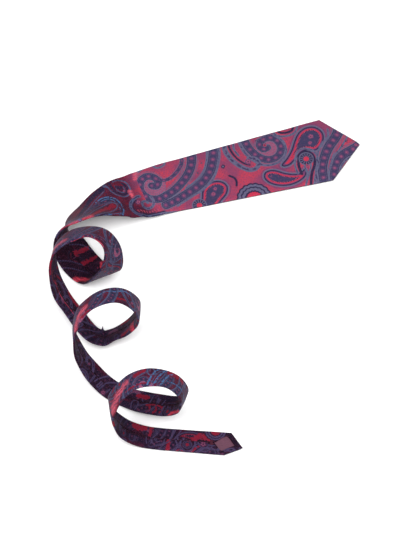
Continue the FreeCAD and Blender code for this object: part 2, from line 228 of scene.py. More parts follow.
def profile(s):
    """Middle of the folded cloth, one row per station: across and height from near flap to far flap."""
    half, offset, skew, inner = end_values(s)
    thick = np.minimum(THICK - CROWN, 1.5 * half + 0.4)
    low = CLOTH / 2
    turn = np.minimum(TURN_RADIUS, 0.16 * half)
    edge = np.minimum((thick - CLOTH) / 2, 0.3 * half)
    inner = np.maximum(np.minimum(inner, half - edge - 2.2 * turn), 0.02)
    strip_wide = np.minimum(STRIP_WIDE, 0.5 * (half - inner - edge - turn))
    fold = column(inner + turn)
    y, h = [], []
    k = np.linspace(1, 0, N_STRIP, endpoint=False)[None]
    y.append(fold + column(strip_wide) * k)
    h.append(column(low + 2 * turn) + 0 * k)
    angle = np.radians(np.linspace(90, 270, N_TURN))[None]
    y.append(fold + column(turn) * np.cos(angle))
    h.append(column(low + turn) + column(turn) * np.sin(angle))
    k = np.linspace(0, 1, N_FLAP + 2)[None, 1:-1]
    y.append(fold + column(half - edge - inner - turn) * k)
    h.append(column(low + 0 * half) + 0 * k)
    angle = np.radians(np.linspace(-90, 90, N_EDGE))[None]
    y.append(column(half - edge) + column(edge) * np.cos(angle))
    h.append(column(low + edge) + column(edge) * np.sin(angle))
    k = np.linspace(1, 0, N_FRONT + 1)[None, 1:]
    y.append(column(half - edge) * k)
    h.append(column(low + 2 * edge) + column(CROWN * np.minimum(1, half / 12)) * (1 - k ** 2))
    near_y, near_h = np.hstack(y), np.hstack(h)
    full_y = np.hstack([near_y, -near_y[:, -2::-1]])
    full_h = np.hstack([near_h, near_h[:, -2::-1]])
    return full_y, full_h, half, offset, skew


def unrolled(y, h):
    """Arc length across the cloth from the middle of the front, negative towards the near edge."""
    steps = np.hypot(np.diff(y, axis=1), np.diff(h, axis=1))
    arc = np.hstack([np.zeros((len(y), 1)), np.cumsum(steps, axis=1)])
    return arc - arc[:, arc.shape[1] // 2][:, None]


def slanted(s, skew, y, half):
    """Stations of points across the tie, moved along where the shoulders are skewed."""
    return s[:, None] + skew[:, None] * y / half * np.where(s < MIDDLE, 1, -1)[:, None]


def place(s, y, h):
    """World position in metres of points given by station, across and height above the back face."""
    centre, across, front, _ = frames(s)
    return (centre + across * y[..., None] + front * (h - THICK / 2)[..., None]) * MM


# ------------------------------------------------------------------ paisley pattern
# Motifs are drawn on the unfolded front of the blade: mm outwards from the flex line, mm from its middle.
# A band is (half width at its start, at its end, kind, points); kinds: 0 navy with dots, 1 slate line,
# 2 navy line, 3 red patch.
BANDS = [
    (5.2, 4.6, 0, [(186, 27), (178, 15), (170, 7), (163, -1), (156, -12), (151, -24), (148, -42)]),
    (5.0, 4.2, 0, [(203, 0), (196, -4), (188, -7), (180, -10), (172, -16), (165, -25), (160, -40)]),
    (1.3, 1.3, 1, [(171, 26), (168, 14), (161, 10), (155, 3), (149, -8), (144, -20), (141, -42)]),
    (1.2, 1.2, 1, [(193, 16), (185, 6), (177, -3), (169, -10), (162, -20), (157, -30), (154, -42)]),
    (1.1, 1.1, 1, [(176, -36), (171, -28), (177, -20), (186, -15), (196, -10)]),
    (4.0, 3.4, 0, [(76, 44), (77, 32), (80, 21), (86, 11), (95, 4.5), (105, 5), (112, 11), (114, 20),
     (110, 29), (102, 32.5), (94, 30), (91, 24), (94, 19), (99, 20)]),
    (2.2, 1.2, 1, [(70, 44), (70.5, 32), (73, 19), (79, 8), (88, -0.5), (98, -3), (108, -1), (116, 6),
     (119, 15), (117, 25), (110, 34)]),
    (3.2, 2.6, 1, [(53, 40), (52, 28), (55, 17), (60, 8), (66, 1), (73, -3.5), (80, -2.5), (84, 3), (82, 9),
     (76, 11.5), (71.5, 8)]),
    (1.3, 1.0, 2, [(57.5, 40), (57.5, 30), (60, 20), (64, 12), (69, 6), (74, 3)]),
    (1.3, 1.3, 1, [(64, 38), (62, 28), (65, 18)]),
    (1.4, 1.4, 2, [(114, 44), (117, 36), (124, 33.5), (132, 35), (137, 44)]),
    (1.4, 1.4, 1, [(109, 44), (113, 33), (123, 29), (134, 31), (141, 42)]),
    (1.2, 1.2, 1, [(119, 44), (121, 39.5), (126, 38.5), (130, 44)]),
    (1.6, 1.6, 2, [(127, -24), (126.5, -14), (128, -6), (132, 1), (138, 3.5), (144, 0), (146, -8),
     (144, -16), (138, -26), (133, -40)]),
    (1.3, 1.3, 1, [(123, -22), (122.5, -12), (125, -3), (130, 5), (138, 8), (147, 3), (150, -7), (148, -17),
     (142, -28), (137, -40)]),
    (1.2, 1.2, 1, [(133, -22), (133, -15), (136, -11), (140, -13), (138, -20), (131, -32), (127, -40)]),
    (5.0, 4.4, 0, [(42, 42), (38, 28), (34, 18), (28, 7), (19, -2), (8, -9), (-5, -14), (-20, -19),
     (-34, -21)]),
    (4.6, 3.6, 0, [(14, 42), (13, 30), (9, 19), (2, 9), (-7, 1), (-18, -6), (-30, -10), (-42, -11),
     (-51, -6), (-55, 4), (-51, 15), (-42, 20), (-34, 17), (-31, 10), (-35, 5), (-40, 7)]),
    (1.3, 1.3, 1, [(47, 42), (44, 26), (39, 14), (33, 2), (24, -8), (11, -15), (-4, -20), (-20, -26)]),
    (1.2, 1.2, 1, [(33, 42), (30, 27), (25, 15), (18, 5), (8, -2), (-4, -7)]),
    (1.8, 1.6, 0, [(3, 42), (1, 28), (-5, 19), (-14, 12), (-22, 9.5), (-29, 11)]),
    (1.2, 1.2, 1, [(-28, 44), (-30, 34), (-26, 27), (-18, 29), (-17, 36), (-20, 44)]),
    (1.3, 1.3, 2, [(47.5, -4), (52, -8), (53.5, -13), (52, -19)]),
]
# Figures drawn once, on the neck of the blade and in the curl (further kinds: 4 salmon painted satin
# highlight, 5 bright line).
CURL_BANDS = [
    (2.0, 1.6, 1, [(-60, -2.5), (-67, -4), (-73, -9), (-75.5, -17), (-72, -25), (-63, -29), (-50, -29.5),
     (-38, -30.5), (-24, -33)]),
    (0.8, 0.8, 2, [(-66, -6.5), (-71, -11), (-72.5, -17.5), (-69.5, -23.5), (-61.5, -26.5), (-50, -27),
     (-38, -28)]),
    (1.8, 1.5, 1, [(-47, -6), (-46, -12), (-49, -17.5), (-55.5, -19.6), (-60.5, -16.5), (-60, -11),
     (-55.5, -9.5), (-53.5, -12.5)]),
    (3.6, 1.8, 3, [(-97, -9), (-104, -11), (-113, -13), (-125, -17.5), (-136, -21.5), (-146, -25)]),
    (0.9, 0.9, 1, [(-145, -22), (-136, -16), (-125, -9.5), (-111, -5), (-100, -3), (-93.5, -5), (-92, -10),
     (-96, -15), (-104, -18.5), (-115, -22), (-128, -25.5), (-140, -27.5)]),
    (2.4, 1.5, 0, [(-96, 1.5), (-104, 2.5), (-113, 2.3), (-122, 0), (-132, -5), (-142, -12), (-150, -19)]),
    (1.3, 1.1, 5, [(-110, 7.5), (-102, 9.2), (-95, 7.4), (-89.5, 2), (-87, -4), (-86.5, -12), (-89, -20),
     (-95, -27)]),
    (0.8, 0.8, 5, [(-104, 5.2), (-97, 4.8), (-92.5, 0.5), (-90.5, -6), (-91, -14), (-95, -22), (-99, -27)]),
    (0.9, 0.9, 2, [(-106, 6.7), (-98.5, 6.8), (-92.5, 3.5), (-89.5, -2), (-88.3, -7), (-88.5, -13),
     (-91.5, -21), (-97, -28)]),
    (1.2, 1.0, 5, [(-99, -24.5), (-110, -25.5), (-122, -28), (-134, -29.5)]),
    (0.9, 0.9, 2, [(-95, -19), (-106, -22), (-118, -25.5), (-130, -28)]),
    (4.0, 2.8, 2, [(-94, 22), (-104, 20), (-116, 16), (-128, 9), (-140, 0), (-150, -8)]),
    (0.8, 0.8, 1, [(-90, 26), (-92, 19), (-100, 14.5), (-112, 10.5), (-124, 4), (-136, -3)]),
    (0.9, 0.9, 1, [(-88, 26), (-87, 18), (-86.5, 12), (-83, 5), (-77, 2), (-70.5, 3), (-66.5, 8), (-66, 15),
     (-68, 21), (-74, 25), (-80, 25)]),
    (1.3, 1.3, 2, [(-84, 25), (-83.5, 12), (-80.5, 7), (-76, 4.8), (-71.5, 5.8), (-69, 10), (-69, 15.5),
     (-71.5, 20)]),
    (0.7, 0.7, 1, [(-80.5, 19), (-80.5, 12.5), (-78, 9), (-74.5, 7.5), (-72, 10), (-72, 15)]),
    (2.0, 1.4, 2, [(-79, 17), (-76, 13), (-74.5, 16)]),
    (2.4, 2.0, 4, [(-67.5, 7), (-67.5, -0.5)]),
    (3.4, 2.4, 4, [(-52, 27), (-56, 21)]),
    (4.0, 3.0, 4, [(-137, -23), (-144, -24)]),
    (2.6, 2.6, 5, [(-149, -19), (-150, -27)]),
    (4.2, 3.0, 4, [(-154, -24), (-162, -23)]),
    (0.5, 0.4, 4, [(-316, -15.6), (-332, -15.8), (-350, -15.8), (-366, -15.2)]),
    (3.4, 2.6, 4, [(-374, -6), (-386, -5), (-400, -4)]),
    (0.7, 0.5, 1, [(-290, 2), (-305, -3), (-325, -7), (-350, -10), (-372, -11)]),
    (0.6, 0.5, 1, [(-270, 4), (-290, -3), (-312, -9), (-335, -12)]),
    # inside of the first loop
    (3.2, 2.6, 3, [(-195, 44), (-196, 36), (-197, 27)]),
    (2.6, 2.0, 3, [(-209, 43), (-211, 36), (-213, 24)]),
    (3.6, 3.0, 4, [(-219, -23), (-227, -27), (-237, -26)]),
    (2.4, 2.0, 4, [(-224, 24), (-229, 28)]),
    # second loop
    (4.8, 4.0, 4, [(-705, -8), (-696, -5), (-687, -3), (-678, -2)]),
    (2.6, 2.0, 3, [(-546, -17), (-560, -18), (-574, -17)]),
    (1.6, 1.4, 3, [(-540, 16), (-556, 17)]),
    (2.4, 2.0, 3, [(-452, 15), (-466, 17), (-474, 15)]),
    (2.0, 1.6, 3, [(-404, -15), (-420, -16)]),
    (0.5, 0.4, 4, [(-430, -23.5), (-452, -23.5), (-476, -23)]),
    (1.6, 1.2, 3, [(-690, -9), (-682, -11), (-674, -11)]),
    (4.4, 3.4, 4, [(-566, -21), (-569, -12)]),
    (2.0, 1.2, 3, [(-640, -7), (-628, -6), (-617, -9)]),
    (1.0, 1.0, 5, [(-660, 3), (-650, 6), (-640, 4), (-630, 7), (-620, 5)]),
    # third loop
    # painted highlight where the tie turns: salmon across its width, and a thin red line along its lower edge
    (6.5, 4.5, 4, [(-1052, -8), (-1042, -6), (-1032, -2), (-1023, 1), (-1016, 2)]),
    (1.1, 0.8, 3, [(-1018, -9), (-1008, -9.5), (-995, -9), (-984, -9.5)]),
    (0.7, 0.7, 2, [(-1042, -10), (-1034, -4), (-1026, 5)]),
    (0.6, 0.6, 2, [(-1046, -6), (-1038, -1), (-1030, 8)]),
    (3.4, 2.6, 3, [(-1002, 5), (-995, 8), (-990, 10)]),
    (3.6, 2.8, 3, [(-962, 9), (-950, 10), (-941, 8)]),
    (1.4, 1.0, 5, [(-989, -11), (-985, -3), (-979, 7), (-972, 12)]),
    (0.6, 0.6, 1, [(-985.5, -12), (-981, -3), (-975, 6), (-968, 11)]),
    (1.6, 1.1, 5, [(-982, -12), (-977, -3), (-971, 6), (-965, 12)]),
    (0.6, 0.6, 1, [(-978, -12), (-973, -3), (-967, 6)]),
    (1.4, 1.0, 5, [(-974, -11), (-969, -3), (-963, 5), (-958, 9)]),
    (1.0, 0.9, 5, [(-966, -4), (-954, -3), (-942, -3), (-930, -5), (-918, -3)]),
    (1.2, 1.2, 3, [(-856, -16), (-859, -19), (-857, -22)]),
    (1.2, 1.2, 3, [(-864, -16), (-867, -19.5), (-865, -23)]),
    (1.2, 1.2, 3, [(-872, -17), (-875, -20), (-873, -23)]),
    (1.0, 1.0, 3, [(-853, -23), (-864, -25), (-876, -23)]),
    (2.0, 1.6, 4, [(-884, -15), (-896, -16), (-912, -14)]),
    (2.8, 2.4, 3, [(-838, 20), (-853, 20)]),
    # tail
    (4.5, 3.5, 3, [(-1120, 18), (-1127, 20), (-1134, 17)]),
    (3.0, 2.4, 3, [(-1143, 15), (-1142, 25)]),
    (3.4, 2.4, 3, [(-1193, 26), (-1200, 22), (-1206, 25), (-1214, 26)]),
    (2.6, 2.2, 3, [(-1165, -15), (-1165.5, -28)]),
    (0.7, 0.7, 1, [(-1194, -28), (-1197, -21), (-1204, -17), (-1211, -19), (-1214, -25)]),
    (0.7, 0.7, 1, [(-1198, -28), (-1201, -23), (-1206, -21), (-1210, -25)]),
    (0.7, 0.7, 1, [(-1144, -28), (-1147, -22), (-1153, -19), (-1159, -22), (-1161, -28)]),
    (0.7, 0.7, 1, [(-1149, -28), (-1152, -24), (-1156, -25)]),
    (0.8, 0.8, 1, [(-1172, -16), (-1175, -22), (-1173, -28)]),
    (0.8, 0.8, 1, [(-1179, -16), (-1182, -22), (-1180, -28)]),
]
CURL_BANDS += [(0.7, 0.5, 4, [(-69 + 3.3 * k, -19.5 - 0.9 * min(k, 4)),
                              (-68 + 3.3 * k, -23 - 0.8 * min(k, 4))]) for k in range(8)]
# A leaf is (scale, points round its navy outline).
LEAVES = [
    (1.0, [(109, -7), (117, 0), (125, 9), (131, 19), (138, 28), (147, 32.5), (157, 31), (163, 23), (162, 14),
     (156, 6), (149, 3), (141, 6), (133, 4), (124, -3), (116, -8)]),
    (0.95, [(86, -15), (89, -11), (95, -10.5), (101, -13), (108, -18), (117, -22), (126, -23), (132, -19),
     (130, -26), (122, -31), (111, -33), (100, -31), (91, -26), (86.5, -20)]),
    (0.95, [(11, -24), (14, -16), (20, -10), (29, -7.5), (37, -10), (41, -17), (38, -25), (31, -31),
     (22, -38), (12, -42), (4, -42)]),
]
# A rosette is (radius, kind, centre); kinds: 0 flower, 1 fan of rays, 2 nested arches, 3 dark dot,
# 4 pink field with ticks, under the bands.
ROSETTES = [
    (8.5, 1, (137, -6)), (20, 2, (67, -40)), (3.2, 0, (150, 21)), (2.6, 0, (147, 13)), (8.5, 1, (5, -32)),
    (2.6, 3, (44, 9.5)), (2.6, 0, (28, -16)), (3.0, 0, (24, -22)), (1.5, 3, (181, 1)), (1.5, 3, (173, -6)),
    (1.5, 3, (164, -14)), (1.5, 3, (187, 6)), (4.2, 0, (97, 24)), (4.0, 0, (-38, 7)), (1.5, 3, (22, 20)),
    (1.5, 3, (14, 9)), (1.4, 3, (6, 3)), (3.6, 0, (73, 8)),
    (1.5, 0, (93, -17)), (1.3, 0, (101, -19)), (1.1, 3, (136, -14)), (1.1, 3, (130, -17)),
    (15, 4, (101, 19)), (14, 4, (-38, 6)), (2.6, 0, (182, 21)), (2.2, 0, (196, -1)),
]
CURL_ROSETTES = [(3.2, 0, (-64.5, -10)), (1.9, 0, (-73.5, 9.5)), (1.0, 0, (-57, 22)), (1.0, 0, (-57.5, 18)),
                 (1.0, 0, (-58.5, 14)), (1.0, 0, (-59, 10)), (1.0, 0, (-60, 6)), (4.0, 0, (-1204, -26)),
                 (3.0, 0, (-1154, -30)), (4.0, 1, (-1105, -22)), (3.4, 0, (-800, -16))]
# The blade's figures repeat along and across with these steps. They reach LOW before and HIGH past the
# place they start from, and beyond NECK_FROM they are FINER times smaller.
PATTERN_LONG, PATTERN_WIDE, FINER = np.array((-254.0, -52.0)), np.array((22.0, 96.0)), 1.6
LOW, HIGH, MARGIN = (62, 45), (205, 45), 6
BLADE_REPEATS, CURL_REPEATS, ACROSS_REPEATS = range(0, 2), range(1, 10), range(-3, 9)
# Only figures drawn once lie on the front of the blade's neck.
NECK_FROM, NECK_TO, NECK_HALF = -152.0, -54.0, 34
SPAN_STEPS = 6          # points of a curve from one given point to the next
NONE = 9.0              # value of a field away from every figure
SPREAD = 7              # how far a figure's lines can show outside its own points


def curve_through(points, closed=False):
    """Catmull-Rom curve through points, as an array."""
    p = np.asarray(points, float)
    if closed:
        p = np.vstack([p[-1:], p, p[:2]])
    else:
        p = np.vstack([2 * p[0] - p[1], p, 2 * p[-1] - p[-2]])
    t = np.linspace(0, 1, SPAN_STEPS, endpoint=False)[:, None]
    out = []
    for a, b, c, d in zip(p, p[1:], p[2:], p[3:]):
        out.append(0.5 * (2 * b + (c - a) * t + (2 * a - 5 * b + 4 * c - d) * t ** 2
                          + (3 * b - a - 3 * c + d) * t ** 3))
    return np.vstack(out + ([] if closed else [p[-2:-1]]))


def nearest(points, line, closed=False):
    """Distance to a polyline, length along it there, and which points a closed one holds."""
    a = line if closed else line[:-1]
    b = np.roll(line, -1, axis=0) if closed else line[1:]
    run = b - a
    size = (run ** 2).sum(1)
    start = np.concatenate([[0], np.cumsum(np.sqrt(size))[:-1]])
    offset = points[:, None] - a
    k = np.clip((offset * run).sum(2) / size, 0, 1)
    gap = np.hypot(*np.moveaxis(offset - k[..., None] * run, 2, 0))
    pick = gap.argmin(1)
    rows = np.arange(len(points))
    length = start[pick] + k[rows, pick] * np.sqrt(size[pick])
    held = None
    if closed:
        above = (a[:, 1] > points[:, None, 1]) != (b[:, 1] > points[:, None, 1])
        rise = np.where(b[:, 1] == a[:, 1], 1e-9, b[:, 1] - a[:, 1])
        cross = a[:, 0] + run[:, 0] * (points[:, None, 1] - a[:, 1]) / rise
        held = (above & (points[:, None, 0] < cross)).sum(1) % 2 == 1
    return gap[rows, pick], length, held


class Fields:
    """The pattern's fields at points of the unfolded cloth (outwards, across), in mm."""
    def __init__(self, count):
        self.band, self.band_t, self.leaf = np.full(count, NONE), np.zeros(count), np.full(count, NONE)
        self.lines = np.full((5, count), NONE)
        self.ros, self.ros_best = np.full((count, 2), NONE), np.full(count, NONE)
        self.ros_kind = np.zeros(count)

    def around(self, here, line):
        """Which points lie near a line."""
        return ((here > line.min(0) - SPREAD) & (here < line.max(0) + SPREAD)).all(1).nonzero()[0]

    def add_bands(self, rows, here, curves):
        """Bands and lines: distance from each, in its own half widths, and length along a band."""
        for line, w0, w1, kind in curves:
            near = self.around(here, line)
            if not len(near):
                continue
            gap, length, _ = nearest(here[near], line)
            total = np.hypot(*np.diff(line, axis=0).T).sum()
            ratio = gap / (w0 + (w1 - w0) * length / total)
            at = rows[near]
            if kind:
                self.lines[kind - 1, at] = np.minimum(self.lines[kind - 1, at], ratio)
                continue
            better = ratio < self.band[at]
            self.band[at[better]], self.band_t[at[better]] = ratio[better], length[better]

    def add_leaves(self, rows, here, shapes):
        """Leaves: distance from the outline, negative inside."""
        for line, scale in shapes:
            near = self.around(here, line)
            if not len(near):
                continue
            gap, _, held = nearest(here[near], line, True)
            at = rows[near]
            self.leaf[at] = np.minimum(self.leaf[at], np.where(held, -gap, gap) / scale)

    def add_rosettes(self, rows, here, rosettes):
        """Rosettes: place relative to the nearest one's centre, in its radii, and its kind."""
        for radius, kind, centre in rosettes:
            offset = (here - centre) / radius
            far = np.hypot(*offset.T)
            better = far < np.minimum(self.ros_best[rows], 1.2)
            at = rows[better]
            self.ros[at], self.ros_best[at], self.ros_kind[at] = offset[better], far[better], kind


def pattern(cloth):
    """All fields of the pattern: the figures drawn once, then the blade's and their finer repeats."""
    cloth = np.asarray(cloth, float)
    fields = Fields(len(cloth))
    curves = [(curve_through(points), w0, w1, kind) for w0, w1, kind, points in BANDS]
    once = [(curve_through(points), w0, w1, kind) for w0, w1, kind, points in CURL_BANDS]
    shapes = [(curve_through(points, True), scale) for scale, points in LEAVES]
    x, y = cloth.T
    everywhere = np.arange(len(cloth))
    fields.add_bands(everywhere, cloth, once)
    fields.add_rosettes(everywhere, cloth, CURL_ROSETTES)
    neck = (x > NECK_FROM) & (x < NECK_TO) & (np.abs(y) < NECK_HALF)
    near_part, far_part = (~neck & (x > NECK_FROM)).nonzero()[0], (x <= NECK_FROM).nonzero()[0]
    finer = np.stack([NECK_FROM + FINER * (x - NECK_FROM), FINER * y], -1)
    for rows, points, repeats in ((near_part, cloth, BLADE_REPEATS), (far_part, finer, CURL_REPEATS)):
        if not len(rows):
            continue
        low, high = points[rows].min(0) - MARGIN, points[rows].max(0) + MARGIN
        for i in repeats:
            for j in ACROSS_REPEATS:
                shift = i * PATTERN_LONG + j * PATTERN_WIDE
                if (shift + HIGH < low).any() or (shift - LOW > high).any():
                    continue
                here = points[rows] - shift
                fields.add_bands(rows, here, curves)
                fields.add_leaves(rows, here, shapes)
                fields.add_rosettes(rows, here, ROSETTES)
    return fields


# ------------------------------------------------------------------ meshes
def new_mesh(name, points, faces):
    """A smooth-shaded mesh object with its faces turned outwards."""
    mesh = bpy.data.meshes.new(name)
    mesh.from_pydata([tuple(p) for p in points], [], faces)
    shape = bmesh.new()
    shape.from_mesh(mesh)
    bmesh.ops.recalc_face_normals(shape, faces=shape.faces)
    shape.to_mesh(mesh)
    shape.free()
    mesh.shade_smooth()
    obj = bpy.data.objects.new(name, mesh)
    bpy.context.scene.collection.objects.link(obj)
    return obj


def grid_faces(rows, cols):
    """Quads between rings of cols points; each ring closes on itself."""
    faces = []
    for r in range(rows - 1):
        base, nxt = r * cols, (r + 1) * cols
        for c in range(cols):
            d = (c + 1) % cols
            faces.append((base + c, base + d, nxt + d, nxt + c))
    return faces


def end_quads(base, cols):
    """Quads that join the two skins of a ring whose points start at base."""
    return [(base + c, base + c + 1, base + cols - 2 - c, base + cols - 1 - c) for c in range(cols // 2 - 1)]


def store_vectors(obj, name, values):
    """Keep a vector for each point of a mesh, for its material."""
    layer = obj.data.attributes.new(name, "FLOAT_VECTOR", "POINT")
    layer.data.foreach_set("vector", np.asarray(values, np.float32).reshape(-1))


def bell(distance, wide):
    """1 at no distance, and nearly 0 beyond twice the width."""
    return np.exp(-(distance / wide) ** 2)


# Wrinkles where the blade starts to roll: height, place inwards of the flex line, slant and width.
WRINKLES = [(1.7, 62, 0.12, 4.2), (-1.5, 74, 0.2, 5.5), (0.8, 48, -0.3, 5.0), (-0.7, 101, 0.3, 7.0)]


def relief(s, y):
    """Unevenness of the cloth in mm towards its front: soft waves, wrinkles at the roll, and a tuck."""
    x = BLADE_FLEX - s
    soft = 0.18 * np.sin(x / 9.0 + y / 14.0) + 0.14 * np.sin(x / 5.2 - y / 9.0 + 1.0)
    amount = 0.6 + 0.9 * smooth(0, -60, x)
    wrinkles = sum(height * bell(x + at + slant * y, wide) for height, at, slant, wide in WRINKLES)
    ramp = 0.35 + 0.65 * smooth(-34, 10, y)
    tuck = -6.5 * bell(s - 675, 3.0) * smooth(4, 12, -y)
    crease = 1.6 * bell(s - 677, 4.5)
    lying = smooth(1270, 1330, s)
    return soft * amount * (1 - lying) - 0.5 * (soft + 0.32) * lying + wrinkles * ramp + tuck + crease


# Painted shade on the backs that lie inside a loop: how much, and the stations where it starts and ends.
LOOP_INSIDE_SHADE = [(0.8, 318, 335, 430, 470), (0.1, 590, 620, 710, 740), (0.4, 840, 870, 960, 985)]
FOLD_SHADE, SEAM_SHADE, FLAP_SHADE = 0.55, 0.9, 0.4
FAR_OFF = 99.0


def paint_fields(obj, cloth, back, doubled=True):
    """Store the pattern's fields and the painted shade on a silk piece, from the cloth coordinates of its
    outer skin.
    """
    rows, cols = cloth.shape[:2]
    x, across = cloth[..., 0], cloth[..., 1]
    s = BLADE_FLEX - x
    inside = sum(amount * smooth(begin, full, s) * smooth(end, last, s)
                 for amount, begin, full, last, end in LOOP_INSIDE_SHADE)
    # painted shade on the backs inside the loops
    shade = inside * smooth(0.6, 1.0, back)
    if doubled:
        # the far flap is in the shade of its own fold, and the seam is a dark line
        fold = np.abs(across).max(1)[:, None] - STRIP_WIDE
        from_fold = np.where(across > 0, fold - across, FAR_OFF)
        shade = np.maximum(shade, FOLD_SHADE * smooth(5.0, 0.5, from_fold) * smooth(205, 250, s))
        seam_end = N_STRIP + N_TURN + 1
        for depth, first, last in ((SEAM_SHADE, N_STRIP, seam_end), (FLAP_SHADE, seam_end, seam_end + 1)):
            shade[:, first:last] = depth
            shade[:, -last:-first] = depth
    found = pattern(cloth.reshape(-1, 2))
    # the salmon field marks where a satin highlight is painted
    slate, navy, red, salmon_highlight, bright = found.lines
    vectors = {"cloth": (x.ravel(), across.ravel(), back.ravel()),
               "band": (found.band, found.band_t, found.leaf),
               "lines": (slate, navy, bright), "patches": (red, salmon_highlight, shade.ravel()),
               "rosette": (*found.ros.T, found.ros_kind)}
    for name, values in vectors.items():
        outer = np.stack(values, -1).reshape(rows, cols, 3)
        store_vectors(obj, name, np.concatenate([outer, outer[:, ::-1]], axis=1) if doubled else outer)


# At a join the end row draws in from the edges and towards the middle of the thickness.
DIVE_IN, DIVE_DOWN = 0.5, 0.3


def silk(name, s, dive_start=False, dive_end=False, recess=0.0):
    """Cloth folded round the tie from station to station: two skins joined at the flaps' free ends."""
    s = np.asarray(s, float)
    y, h, half, offset, skew = profile(s)
    arc, wide = unrolled(y, h), half[:, None]
    step_y, step_h = np.gradient(y, axis=1), np.gradient(h, axis=1)
    size = np.hypot(step_y, step_h)
    # the path runs anticlockwise seen along the tie, so the outer skin is on its right
    in_y, in_h = -step_h / size * (CLOTH / 2), step_y / size * (CLOTH / 2)
    ring_y = np.hstack([y - in_y, (y + in_y)[:, ::-1]])
    ring_h = np.hstack([h - in_h, (h + in_h)[:, ::-1]])
    ring_s = slanted(s, skew, ring_y, wide)
    ring_y *= 1 - recess / wide
    ring_h += (THICK / 2 - ring_h) * recess / (THICK / 2)
    for dives, row in ((dive_start, 0), (dive_end, -1)):
        if dives:
            ring_y[row] *= 1 - DIVE_IN / half[row]
            ring_h[row] += (THICK / 2 - ring_h[row]) * DIVE_DOWN
    points = place(ring_s, ring_y + offset[:, None], ring_h + relief(ring_s, ring_y))
    rows, cols = ring_y.shape
    faces = grid_faces(rows, cols) + [quad[::-1] for quad in end_quads(0, cols)]
    faces += end_quads((rows - 1) * cols, cols)
    obj = new_mesh(name, points.reshape(-1, 3), faces)
    cloth = np.stack([BLADE_FLEX - ring_s[:, :cols // 2], arc], -1)
    back = smooth(0.8, 1.0, np.abs(arc) / wide) * smooth(-0.2, 0.4, THICK / 2 - h)
    # the ground turns deep crimson at the neck, sooner near the lower edge; the darkening there is partly
    # painted shade
    turned = s[:, None] + 0.6 * np.clip(-arc - 5, 0, 25)
    paint_fields(obj, cloth, np.maximum(back, 0.5 * smooth(212, 238, turned)))
    return obj


def strip(name, s, inset, low, high, columns=11):
    """Flat sheet inside the tie that follows its outline, inset mm from the edges."""
    s = np.asarray(s, float)
    half, offset, skew, _ = end_values(s)
    half = np.maximum(half - inset, 0.5)[:, None]
    y = half * np.linspace(-1, 1, columns)
    ring_y = np.hstack([y, y[:, ::-1]])
    ring_h = np.hstack([np.full_like(y, low), np.full_like(y, high)])
    ring_s = slanted(s, skew, ring_y, half)
    points = place(ring_s, ring_y + offset[:, None], ring_h + relief(ring_s, ring_y))
    rows, cols = ring_y.shape
    faces = grid_faces(rows, cols)
    faces += [tuple(range(cols)), tuple(range((rows - 1) * cols, rows * cols))]
    obj = new_mesh(name, points.reshape(-1, 3), faces)
    store_vectors(obj, "cloth", np.stack([BLADE_FLEX - ring_s, ring_y, ring_h], -1))
    return obj


def tubes(name, paths, radius, sides=6):
    """Threads: each path is three arrays (station, across, height) that a round tube follows."""
    points, faces, local = [], [], []
    turn = np.linspace(0, 2 * np.pi, sides, endpoint=False)
    for s, y, h in paths:
        line = place(s, y, h)
        along = unit(np.gradient(line, axis=0))
        side = frames(s)[2]
        side = unit(side - along * (side * along).sum(-1, keepdims=True))
        other = np.cross(along, side)
        ring = side[:, None] * np.cos(turn)[None, :, None] + other[:, None] * np.sin(turn)[None, :, None]
        base, last = len(points), (len(s) - 1) * sides
        points += list((line[:, None] + ring * radius * MM).reshape(-1, 3))
        length = np.concatenate([[0], np.cumsum(np.linalg.norm(np.diff(line, axis=0), axis=1))]) / MM
        local += list(np.stack(np.broadcast_arrays(length[:, None], turn[None], 0.0), -1).reshape(-1, 3))
        faces += [tuple(base + k for k in face) for face in grid_faces(len(s), sides)]
        faces += [tuple(range(base, base + sides)), tuple(range(base + last, base + last + sides))]
    obj = new_mesh(name, points, faces)
    store_vectors(obj, "cloth", local)
    return obj


HOP = 9.0               # one stitch of the seam, from a flap to the other and back


def slip_stitch(name, start, end):
    """Sewing thread that hops from flap to flap down the seam."""
    s = np.arange(start, end, 1.1)
    across = 0.62 * np.sin(s * 2 * np.pi / HOP)
    height = 0.32 + 0.22 * np.cos(s * 4 * np.pi / HOP) + relief(s, 0 * s)
    return tubes(name, [(s, across, height)], 0.2)


def bar_tack(name, at, reach):
    """Close wraps of thread across the seam where the flaps part."""
    k = np.linspace(-1, 1, 15)
    height = 0.45 - 0.72 * np.sqrt(1.02 - k ** 2) + relief(np.full(15, at), 0 * k)
    wraps = [(np.full(15, at + 0.44 * n) + 0.15 * k, reach * (1 - 0.05 * (n % 2)) * k, height)
             for n in range(-3, 4)]
    return tubes(name, wraps, 0.23)


# ------------------------------------------------------------------ materials
def linear(*display):
    """Scene colour of a display colour given as 0 to 255."""
    shares = [c / 255 for c in display]
    return tuple(c / 12.92 if c <= 0.04045 else ((c + 0.055) / 1.055) ** 2.4 for c in shares) + (1.0,)


